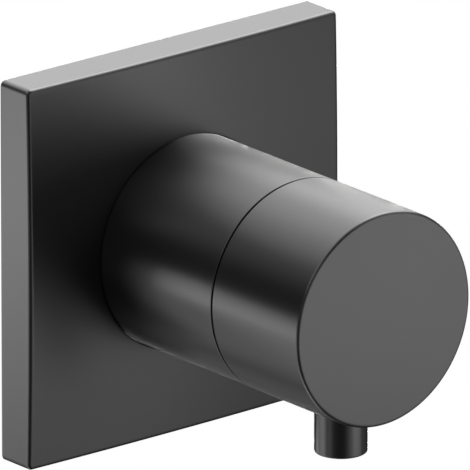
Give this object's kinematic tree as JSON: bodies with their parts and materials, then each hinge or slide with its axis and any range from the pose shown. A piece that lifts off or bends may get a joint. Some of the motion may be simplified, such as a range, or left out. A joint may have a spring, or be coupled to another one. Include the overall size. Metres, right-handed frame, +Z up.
{
  "type": "concealed shut-off valve",
  "caption": "Concealed in-line shut-off valve with a square crowned cover, a round base sleeve and a quarter-turn handle turned by a round pin.",
  "frame": {"origin": "on the valve axis, in the plane of the finished wall that the cover sits on", "axes": "+Y into the wall along the valve axis, +Z up towards the outlet, +X to the right when facing the handle"},
  "size_m": [0.09, 0.1145, 0.09],
  "materials": {
    "satin_metal": "satin",
    "forged_brass": "satin",
    "turned_brass": "satin",
    "seal_rubber": "matte",
    "gasket_rubber": "matte",
    "black_plastic": "matte",
    "white_plastic": "satin",
    "white_ceramic": "satin",
    "spring_steel": "satin",
    "screw_steel": "satin"
  },
  "bodies": {
    "valve": {"escutcheon": "satin_metal", "escutcheon_gasket": "gasket_rubber", "escutcheon_seal": "seal_rubber", "base_sleeve": "satin_metal", "trim_carrier": "black_plastic", "sleeve_ring_rear": "seal_rubber", "sleeve_ring_front": "seal_rubber", "ring_nut": "turned_brass", "glide_ring": "black_plastic", "valve_body": "forged_brass", "headwork_housing": "turned_brass", "housing_ring": "seal_rubber", "seat_seal": "seal_rubber", "fixed_disc": "white_ceramic", "thrust_washer": "white_plastic"},
    "handle": {"moving_disc": "white_ceramic", "spindle": "turned_brass", "spindle_ring_lower": "seal_rubber", "spindle_ring_upper": "seal_rubber", "stop_ring": "turned_brass", "retaining_clip": "spring_steel", "spindle_extension": "turned_brass", "screw_washer": "screw_steel", "extension_screw": "screw_steel", "handle_insert": "white_plastic", "handle_shell": "satin_metal", "handle_pin": "satin_metal"}
  },
  "joints": [
    {"name": "handle_turn", "type": "hinge", "parent": "valve", "child": "handle", "pos_m": [0, 0, 0], "axis": [0, -1, 0], "range_deg": [0, 90]}
  ]
}
